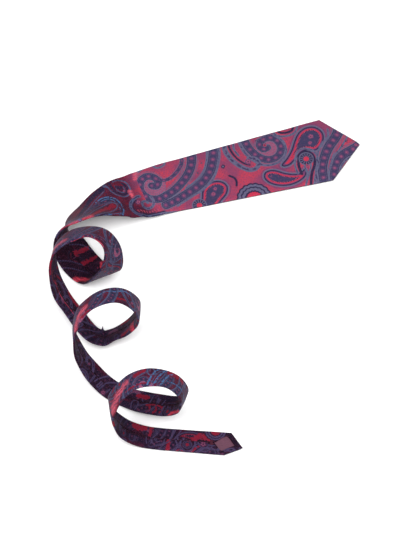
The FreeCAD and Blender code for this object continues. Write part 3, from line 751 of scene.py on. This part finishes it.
class Graph:
    """Small helper that adds nodes to a material and wires them."""
    def __init__(self, name):
        self.material = bpy.data.materials.new(name)
        self.material.use_nodes = True
        self.tree = self.material.node_tree
        self.shader = self.tree.nodes["Principled BSDF"]

    def link(self, value, socket):
        if isinstance(value, bpy.types.NodeSocket):
            self.tree.links.new(value, socket)
        else:
            socket.default_value = value

    def math(self, operation, a, b=0.0):
        node = self.tree.nodes.new("ShaderNodeMath")
        node.operation = operation
        self.link(a, node.inputs[0])
        self.link(b, node.inputs[1])
        return node.outputs[0]

    def plus(self, a, b):
        return self.math("ADD", a, b)

    def minus(self, a, b):
        return self.math("SUBTRACT", a, b)

    def times(self, a, b):
        return self.math("MULTIPLY", a, b)

    def apart(self, a, b):
        """Distance between two values."""
        return self.math("ABSOLUTE", self.minus(a, b))

    def wave(self, value, rate):
        """Sine of the value times the rate."""
        return self.math("SINE", self.times(value, rate))

    def hypotenuse(self, a, b):
        return self.math("SQRT", self.plus(self.math("POWER", a, 2.0), self.math("POWER", b, 2.0)))

    def below(self, value, edge, soft=0.12):
        """1 where value is under edge, fading over soft."""
        node = self.tree.nodes.new("ShaderNodeMapRange")
        self.link(value, node.inputs["Value"])
        self.link(edge - soft / 2, node.inputs["From Min"])
        self.link(edge + soft / 2, node.inputs["From Max"])
        self.link(1.0, node.inputs["To Min"])
        self.link(0.0, node.inputs["To Max"])
        return node.outputs[0]

    def mix(self, factor, a, b):
        node = self.tree.nodes.new("ShaderNodeMix")
        node.data_type = "RGBA"
        self.link(factor, node.inputs["Factor"])
        self.link(a, node.inputs["A"])
        self.link(b, node.inputs["B"])
        return node.outputs["Result"]

    def field(self, name):
        """A vector attribute and its three parts."""
        node = self.tree.nodes.new("ShaderNodeAttribute")
        node.attribute_name = name
        split = self.tree.nodes.new("ShaderNodeSeparateXYZ")
        self.link(node.outputs["Vector"], split.inputs[0])
        return node.outputs["Vector"], *split.outputs

    def noise(self, vector, scale, detail=2.0):
        node = self.tree.nodes.new("ShaderNodeTexNoise")
        self.link(vector, node.inputs["Vector"])
        self.link(scale, node.inputs["Scale"])
        self.link(detail, node.inputs["Detail"])
        return node.outputs["Fac"]

    def scaled(self, vector, x, y):
        node = self.tree.nodes.new("ShaderNodeVectorMath")
        node.operation = "MULTIPLY"
        self.link(vector, node.inputs[0])
        self.link((x, y, 1.0), node.inputs[1])
        return node.outputs[0]

    def bump(self, height, distance, strength):
        node = self.tree.nodes.new("ShaderNodeBump")
        self.link(height, node.inputs["Height"])
        self.link(distance, node.inputs["Distance"])
        self.link(strength, node.inputs["Strength"])
        return node.outputs[0]

    def finish(self, **sockets):
        for name, value in sockets.items():
            self.link(value, self.shader.inputs[name.replace("_", " ")])
        return self.material


# The silk's colours on the flat blade's front, on the fronts in the roll, and on the backs. The roll's and
# the backs' colours are darker, partly as painted shade and partly as the satin's weaker sheen there painted
# into the colour; the shade colour is painted shade.
SATIN = {
    "ground": ((180, 58, 76), (100, 18, 37), (78, 14, 35)),
    "deep": ((132, 60, 90), (50, 17, 36), (26, 11, 26)),
    "slate": ((90, 92, 118), (68, 78, 108), (62, 56, 86)),
    "band": ((52, 54, 84), (30, 36, 62), (16, 17, 36)),
    "navy": ((32, 34, 60), (22, 26, 50), (14, 12, 26)),
    "purple": ((100, 60, 96), (58, 42, 70), (48, 30, 54)),
    "pink": ((148, 76, 104), (150, 72, 100), (112, 58, 86)),
    "red": ((186, 48, 70), (126, 16, 34), (124, 22, 40)),
    # salmon is a painted satin highlight
    "salmon_highlight": ((206, 84, 104), (204, 82, 100), (214, 62, 80)),
    "bright": ((84, 96, 130), (60, 104, 148), (48, 72, 110)),
    "shade": ((30, 16, 28), (22, 12, 22), (8, 4, 9)),
}
DOT_STEP = 8.6          # from one dot of a band to the next


def paisley_silk():
    """Jacquard silk: satin red ground with slate, navy, purple and pink figures, with painted shade and a
    painted satin highlight.
    """
    g = Graph("paisley_silk")
    cloth, out, across, tone = g.field("cloth")
    _, band, along, leaf = g.field("band")
    _, slate_line, navy_line, bright_line = g.field("lines")
    _, red_patch, salmon_highlight_mask, shade = g.field("patches")
    _, ros_x, ros_y, ros_kind = g.field("rosette")

    # the roll's and the backs' darker colours are partly painted shade
    curl = g.math("MINIMUM", g.times(tone, 2.0), 1.0)
    back = g.math("MAXIMUM", g.minus(g.times(tone, 2.0), 1.0), 0.0)
    paint = {name: g.mix(back, g.mix(curl, linear(*first), linear(*second)), linear(*third))
             for name, (first, second, third) in SATIN.items()}
    slate, navy, purple, pink, red = (paint[name] for name in ("slate", "navy", "purple", "pink", "red"))

    def over(under, colour, *masks):
        """A colour laid over another where every mask allows it."""
        total = masks[0]
        for mask in masks[1:]:
            total = g.times(total, mask)
        return g.mix(total, under, colour)

    # satin ground: open red with soft purplish areas and short woven dashes
    dashes = g.noise(g.scaled(cloth, 0.45, 1.1), 1.0, 1.0)
    wide = g.noise(cloth, 0.045)
    look = over(paint["ground"], paint["deep"], g.below(wide, 0.5, 0.2))
    look = over(look, paint["deep"], g.below(dashes, 0.44))
    # the backs turn navy in long patches that leave the folded edges crimson
    from_edge = g.apart(g.math("ABSOLUTE", across), 18.0)
    stretch = g.plus(g.noise(g.scaled(cloth, 0.035, 0.10), 1.0), g.times(from_edge, 0.012))
    look = over(look, paint["band"], back, g.below(stretch, 0.60))
    # a thin line echoes each leaf and band
    look = over(look, purple, g.below(g.apart(leaf, 4.2), 0.45, 0.3))
    look = over(look, slate, g.below(g.apart(band, 1.62), 0.08, 0.08))

    # rosettes under the bands: pink field with slate ticks
    radius = g.hypotenuse(ros_x, ros_y)
    angle = g.math("ARCTAN2", ros_y, ros_x)
    flower, fan, arches, bead, rayed = (g.below(g.apart(ros_kind, kind), 0.5, 0.02) for kind in range(5))
    within = g.below(radius, 1.0, 0.04)
    look = over(look, pink, rayed, within)
    look = over(look, slate, rayed, within, g.below(g.wave(angle, 30.0), -0.2, 0.5),
                g.below(g.wave(radius, 32.0), 0.1, 0.5))

    # leaves: slate outside, navy outline, purple and red rings, a beaded ring and a navy heart
    for edge, fill in ((3.0, slate), (1.1, navy), (-0.3, purple), (-1.5, red), (-3.2, pink),
                       (-4.3, paint["band"])):
        look = over(look, fill, g.below(leaf, edge, 0.35))
    beads = g.times(g.wave(out, 2.1), g.wave(across, 2.1))
    look = over(look, navy, g.below(leaf, -2.9, 0.3), g.below(g.times(leaf, -1.0), 4.6, 0.3),
                g.below(beads, 0.0, 0.3))

    # bands: navy with soft purple dots between slate outlines
    for edge, fill, soft in ((1.3, slate, 0.1), (1.07, navy, 0.08), (0.94, paint["band"], 0.1)):
        look = over(look, fill, g.below(band, edge, soft))
    step = g.times(g.minus(g.math("FRACT", g.math("DIVIDE", along, DOT_STEP)), 0.5), DOT_STEP)
    dot = g.hypotenuse(step, g.times(band, 4.4))
    look = over(look, purple, g.below(band, 0.9, 0.1), g.below(dot, 2.5, 1.6))
    look = over(look, pink, g.below(dot, 1.0, 1.4))
    look = over(look, slate, g.below(g.apart(band, 0.78), 0.07, 0.06), g.below(g.wave(along, 2.9), -0.2, 0.6))

    # the shade field darkens the backs inside the loops and the far flap as painted shade, and draws the seam
    # as a dark line; then patches with frayed edges, and lines; the slate lines have a darker core here and
    # there
    look = g.mix(shade, look, paint["shade"])
    fray = g.times(g.minus(g.noise(cloth, 0.55), 0.5), 2.4)
    look = over(look, red, g.below(g.plus(red_patch, fray), 0.95, 0.2))
    look = over(look, slate, g.below(slate_line, 1.0, 0.25))
    core = g.noise(cloth, 0.25, 1.0)
    look = over(look, paint["band"], g.below(slate_line, 0.42, 0.2), g.below(core, 0.5, 0.1))
    look = over(look, navy, g.below(navy_line, 1.0, 0.25))
    broken = g.noise(g.scaled(cloth, 0.5, 0.5), 1.0, 1.0)
    look = over(look, paint["bright"], g.below(bright_line, 0.85, 0.25), g.below(broken, 0.56, 0.1))
    # painted satin highlight in salmon along folds and turned edges, broken by streaks
    streaks = g.noise(g.scaled(cloth, 0.10, 0.9), 1.0)
    frayed = g.plus(salmon_highlight_mask, g.times(fray, 0.5))
    look = over(look, paint["salmon_highlight"], g.below(frayed, 0.95, 0.8), g.below(streaks, 0.56, 0.2))

    # rosettes on top
    look = over(look, purple, flower, g.below(radius, 1.0, 0.15))
    petal = g.minus(radius, g.times(g.wave(angle, 5.0), 0.16))
    look = over(look, pink, flower, g.below(petal, 0.62, 0.15))
    look = over(look, navy, flower, g.below(radius, 0.22, 0.1))
    rays = g.times(g.wave(angle, 13.0), -1.0)
    look = over(look, slate, fan, g.below(radius, 1.0, 0.06))
    look = over(look, navy, fan, g.below(radius, 0.86, 0.06))
    look = over(look, slate, fan, g.below(radius, 0.8, 0.06), g.below(rays, -0.2, 0.4))
    look = over(look, red, fan, g.below(radius, 0.36, 0.06))
    scallop = g.minus(radius, g.times(g.math("ABSOLUTE", g.wave(angle, 9.0)), 0.05))
    for edge, fill in ((0.97, navy), (0.88, slate), (0.74, navy), (0.66, slate), (0.5, navy), (0.4, red)):
        look = over(look, fill, arches, g.below(scallop, edge, 0.02))
    look = over(look, navy, bead, g.below(radius, 1.0, 0.15))
    look = over(look, slate, bead, g.below(radius, 0.45, 0.15))

    # binding yarns fleck the figures; twill ribs and yarn unevenness
    fleck = g.noise(g.scaled(cloth, 0.75, 0.75), 1.0, 3.0)
    look = g.mix(g.times(g.below(fleck, 0.42, 0.14), 0.55), look, purple)
    fleck = g.noise(g.scaled(cloth, 0.6, 0.95), 1.3, 3.0)
    look = g.mix(g.times(g.below(fleck, 0.41), 0.5), look, navy)
    fleck = g.noise(g.scaled(cloth, 0.7, 1.2), 1.1, 3.0)
    look = g.mix(g.times(g.times(g.below(fleck, 0.38, 0.1), tone), 0.6), look, pink)
    rib = g.wave(g.plus(out, across), 2 * math.pi / 0.9)
    yarn = g.noise(g.scaled(cloth, 0.6, 3.0), 1.0)
    look = g.mix(g.times(g.below(yarn, 0.48, 0.3), 0.2), look, linear(40, 12, 30))
    raised = g.bump(g.plus(g.times(rib, 0.5), yarn), 0.00006, 0.6)
    return g.finish(Base_Color=look, Roughness=g.plus(g.times(yarn, 0.18), 0.40), Normal=raised, Metallic=0.3,
                    Sheen_Weight=0.03, Sheen_Roughness=0.35, Specular_IOR_Level=0.12,
                    Specular_Tint=(0.62, 0.40, 0.52, 1.0), Anisotropic=0.3)


def woven(name, colour, shade, pitch, depth, rough, rub):
    """Plain weave: crossed yarns of one colour, with a little unevenness."""
    g = Graph(name)
    cloth, out, across, _ = g.field("cloth")
    cross = g.times(g.wave(out, 2 * math.pi / pitch), g.wave(across, 2 * math.pi / pitch))
    uneven = g.noise(g.scaled(cloth, 0.5, 2.0), 1.0)
    tone = g.plus(g.times(cross, 0.25), uneven)
    return g.finish(Base_Color=g.mix(g.below(tone, 0.5, 0.7), colour, shade),
                    Roughness=g.plus(g.times(uneven, 0.2), rough), Normal=g.bump(tone, depth, 0.6),
                    Sheen_Weight=rub)


def thread():
    """Twisted two-ply silk thread."""
    g = Graph("thread")
    _, along, turn, _ = g.field("cloth")
    twist = g.math("SINE", g.plus(g.times(along, 7.0), g.times(turn, 2.0)))
    return g.finish(Base_Color=g.mix(g.below(twist, 0.0, 1.2), linear(84, 24, 46), linear(38, 10, 26)),
                    Roughness=0.6, Normal=g.bump(twist, 0.00005, 0.8), Specular_IOR_Level=0.2)


silk_material = paisley_silk()
canvas_material = woven("canvas", linear(206, 196, 172), linear(150, 138, 112), 0.9, 0.0001, 0.75, 0.1)
tipping_material = woven("tipping", linear(92, 42, 66), linear(62, 24, 44), 0.5, 0.00003, 0.38, 0.1)
thread_material = thread()

# ------------------------------------------------------------------ the pieces
# Stations of each piece's rows, closer together where the cloth bends or ends.
tips = np.r_[np.linspace(0.985, 0.9, 8), np.linspace(0.88, 0, 26)]
blade_s = np.r_[-BLADE.point * tips, np.arange(1.5, 230, 1.5), np.arange(231, 662, 1.6),
                np.arange(662.5, 677, 1.0), 677.3, 677.6]
neck_s = np.r_[678.4, 678.8, np.arange(679.8, 690, 1.0), np.arange(691, 978, 1.2), 979.0, 979.6]
tail_s = np.r_[980.4, 981.0, np.arange(982.5, 1392, 1.25), TAIL_SHOULDER + TAIL.point * np.sort(tips)]
join_s = np.array([-0.55, -0.3, 0, 0.3, 0.55])
silk_blade = silk("silk_blade", blade_s, dive_end=True)
silk_neck = silk("silk_neck", neck_s, dive_start=True, dive_end=True)
silk_tail = silk("silk_tail", tail_s, dive_start=True)
seam_blade_neck = silk("seam_blade_neck", BLADE_JOIN + join_s, recess=0.22)
seam_neck_tail = silk("seam_neck_tail", TAIL_JOIN + join_s, recess=0.22)

# Canvas and tipping: how far inside the tie's edges, and their lower and upper faces.
BLADE_INSET, TAIL_INSET, TIPPING_INSET = 2.2, 2.0, 1.6
CANVAS_FACES, TIPPING_FACES = (1.62, 2.12), (1.38, 1.52)
blade_tip_s, tail_tip_s = (1 - BLADE.point) * tips, TAIL_SHOULDER + (TAIL.point - 1) * np.sort(tips)
canvas_blade_s = np.r_[blade_tip_s[4:], np.arange(6, 126, 6.0), np.arange(126, 174, 1.5),
                       np.arange(174, 676, 2.0), 677.0]
canvas_tail_s = np.r_[679.0, np.arange(685, 1313, 2.0), np.arange(1315, 1348, 1.25),
                      np.arange(1350, 1392, 6.0), tail_tip_s[:-4]]
tipping_blade_s = np.r_[blade_tip_s[3:], np.arange(3, 87.1, 3.0)]
tipping_tail_s = np.r_[np.arange(1347, 1392, 2.0), tail_tip_s[:-3]]
canvas_blade = strip("canvas_blade", canvas_blade_s, BLADE_INSET, *CANVAS_FACES)
canvas_tail = strip("canvas_tail", canvas_tail_s, TAIL_INSET, *CANVAS_FACES)
tipping_blade = strip("tipping_blade", tipping_blade_s, TIPPING_INSET, *TIPPING_FACES, columns=25)
tipping_tail = strip("tipping_tail", tipping_tail_s, TIPPING_INSET, *TIPPING_FACES, columns=17)

TACK_HALF = 3.5         # half the length of a bar tack
blade_opens, tail_opens = BLADE_FLEX - BLADE.seam, TAIL_FLEX + TAIL.seam
thread_blade = slip_stitch("thread_blade", blade_opens + 4, 676)
thread_tail = slip_stitch("thread_tail", 681, tail_opens - 4)
bar_tack_blade = bar_tack("bar_tack_blade", blade_opens + 2, TACK_HALF)
bar_tack_tail = bar_tack("bar_tack_tail", tail_opens - 2, TACK_HALF)

# The keeper is a band with its edges folded under: place along the tie, and the skins of its two layers.
KEEPER_MIDDLE, KEEPER_WIDE, KEEPER_HALF, KEEPER_HEIGHT = BLADE_FLEX - 41.0, 14.0, 23.0, -0.66
LAYER, SKIN = 0.12, 0.09
KEEPER_ROWS = 41


def keeper_loop():
    """Self-cloth band across the back of the blade, its ends turned under and sewn down."""
    across = KEEPER_HALF * np.sin(np.linspace(-1, 1, KEEPER_ROWS) * np.pi / 2)
    edge = KEEPER_WIDE / 2 - LAYER
    bend = np.radians(np.linspace(90, -90, 6))
    under, upper = np.linspace(1.5, edge, 6)[:-1], np.linspace(edge, 0, 9)[1:]
    half_w = np.r_[0.25, under, edge + LAYER * np.cos(bend), upper]
    half_h = np.r_[np.full(6, LAYER), LAYER * np.sin(bend), np.full(8, -LAYER)]
    path_w, path_h = np.r_[half_w, -half_w[-2::-1]], np.r_[half_h, half_h[-2::-1]]
    step_w, step_h = np.gradient(path_w), np.gradient(path_h)
    size = np.hypot(step_w, step_h)
    out_w, out_h = step_h / size * SKIN, step_w / size * SKIN
    ring_w = np.r_[path_w - out_w, (path_w + out_w)[::-1]]
    ring_h = np.r_[path_h + out_h, (path_h - out_h)[::-1]]
    count = len(ring_w)
    y = np.repeat(across[:, None], count, axis=1)
    rise = 0.42 * smooth(KEEPER_HALF - 4, KEEPER_HALF, np.abs(y))
    height = KEEPER_HEIGHT + ring_h[None] + rise + 0.05 * np.sin(y / 3.0)
    points = place(KEEPER_MIDDLE - ring_w[None] + 0 * y, y, height)
    faces = grid_faces(KEEPER_ROWS, count) + end_quads(0, count) + end_quads((KEEPER_ROWS - 1) * count, count)
    obj = new_mesh("keeper_band", points.reshape(-1, 3), faces)
    paint_fields(obj, np.stack([40 + y, 3 * ring_w[None] + 0 * y], -1), np.full_like(y, 0.6), False)
    return obj


def keeper_stitches(name, side):
    """Short whip stitches over one end of the keeper."""
    k = np.linspace(-1, 1, 9)
    paths = [(KEEPER_MIDDLE + step + 0.5 * k, side * (KEEPER_HALF - 1.2 + 1.6 * k),
              -0.1 - 0.55 * (1 - k ** 2))
             for step in np.linspace(-5.5, 5.5, 6)]
    return tubes(name, paths, 0.14)


keeper = keeper_loop()
stitches_far = keeper_stitches("keeper_stitches_far", -1)
stitches_near = keeper_stitches("keeper_stitches_near", 1)

silk_pieces = (silk_blade, silk_neck, silk_tail, seam_blade_neck, seam_neck_tail, keeper)
thread_pieces = (thread_blade, thread_tail, bar_tack_blade, bar_tack_tail, stitches_far, stitches_near)
for pieces, material, slot in ((silk_pieces, silk_material, "silk"),
                               (thread_pieces, thread_material, "thread"),
                               ((canvas_blade, canvas_tail), canvas_material, "canvas"),
                               ((tipping_blade, tipping_tail), tipping_material, "tipping")):
    for piece in pieces:
        piece.data.materials.append(material)

# ------------------------------------------------------------------ set, light and camera
FLOOR_HALF = 3
corners = [(x * FLOOR_HALF, y * FLOOR_HALF, 0) for x, y in ((-1, -1), (1, -1), (1, 1), (-1, 1))]
floor = new_mesh("floor", corners, [(0, 1, 2, 3)])
floor.data.materials.append(Graph("floor_white").finish(Base_Color=(0.93, 0.93, 0.93, 1), Roughness=0.7))
floor.visible_glossy = False

world = bpy.data.worlds.new("studio")
world.use_nodes = True
world.node_tree.nodes["Background"].inputs["Color"].default_value = (1, 1, 1, 1)
world.node_tree.nodes["Background"].inputs["Strength"].default_value = 0.75
bpy.context.scene.world = world
bpy.context.scene.view_settings.view_transform = "Standard"

LIGHT_AIM, LIGHT_POWER = Vector((-0.02, 0, 0)), 44


def area_light(name, at, size):
    """A square soft light that faces the tie."""
    data = bpy.data.lights.new(name, "AREA")
    data.shape = "SQUARE"
    data.size = size
    data.energy = LIGHT_POWER
    obj = bpy.data.objects.new(name, data)
    obj.location = at
    obj.rotation_euler = (LIGHT_AIM - Vector(at)).to_track_quat("-Z", "Y").to_euler()
    bpy.context.scene.collection.objects.link(obj)


area_light("key", (-1.1, -0.9, 2.2), 1.6)
area_light("top", (0.5, -0.7, 2.5), 2.0)

# The camera looks down at the tie from far off, so that the view is nearly without perspective.
ELEVATION, CAMERA_FAR, CAMERA_AIM = math.radians(60), 12.0, Vector((-0.006, 0.0138, 0))
SENSOR, VIEW_TALL = 36, 0.616
camera_data = bpy.data.cameras.new("camera")
camera = bpy.data.objects.new("camera", camera_data)
bpy.context.scene.collection.objects.link(camera)
bpy.context.scene.camera = camera
camera.location = CAMERA_AIM + CAMERA_FAR * Vector((0, -math.cos(ELEVATION), math.sin(ELEVATION)))
camera.rotation_euler = (math.radians(90) - ELEVATION, 0, 0)
camera_data.lens = SENSOR * CAMERA_FAR / VIEW_TALL
camera_data.clip_end = 50
camera_data.clip_start = 1

# ------------------------------------------------------------------ what moves with what
for piece, nodes in ((silk_blade, ("blade_shell", "blade_curl_shell")), (silk_neck, ("neck_shell",)),
                     (silk_tail, ("tail_shell", "tail_curl_shell")), (seam_blade_neck, ("blade_neck_join",)),
                     (seam_neck_tail, ("neck_tail_join",)), (keeper, ("keeper_loop",)),
                     (canvas_blade, ("blade_interlining", "curl_interlining")),
                     (canvas_tail, ("tail_interlining",)), (tipping_blade, ("blade_tipping",)),
                     (tipping_tail, ("tail_tipping",)),
                     (thread_blade, ("blade_slip_stitch", "curl_slip_stitch")),
                     (thread_tail, ("tail_slip_stitch",)), (bar_tack_blade, ("blade_bar_tack",)),
                     (bar_tack_tail, ("tail_bar_tack",)), (stitches_far, ("keeper_tack_far",)),
                     (stitches_near, ("keeper_tack_near",))):
    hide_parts(*nodes)


def bend_with(piece):
    """Bake the piece's placement into its mesh; it is not attached to the curl or to the flat end."""
    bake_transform(piece)


for piece in (silk_blade, canvas_blade, thread_blade):
    bend_with(piece)
for piece in (silk_tail, canvas_tail, thread_tail):
    bend_with(piece)
for piece in (silk_neck, seam_blade_neck, seam_neck_tail):
    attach(piece, "curl")
for piece in (tipping_blade, bar_tack_blade, keeper, stitches_far, stitches_near):
    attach(piece, "blade")
for piece in (tipping_tail, bar_tack_tail):
    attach(piece, "tail")


def cloth_area(s):
    """Flat area in square metres of the cloth folded from station to station."""
    arc = unrolled(*profile(s)[:2])
    return float(np.trapz(arc[:, -1] - arc[:, 0], s)) * MM * MM


for piece, s, flat, core in ((silk_blade, blade_s, (0.19, 0.72), "canvas_blade"),
                             (silk_neck, neck_s, (0.075, 0.302), "canvas_tail"),
                             (silk_tail, tail_s, (0.084, 0.43), "canvas_tail")):
    cloth_area(s)
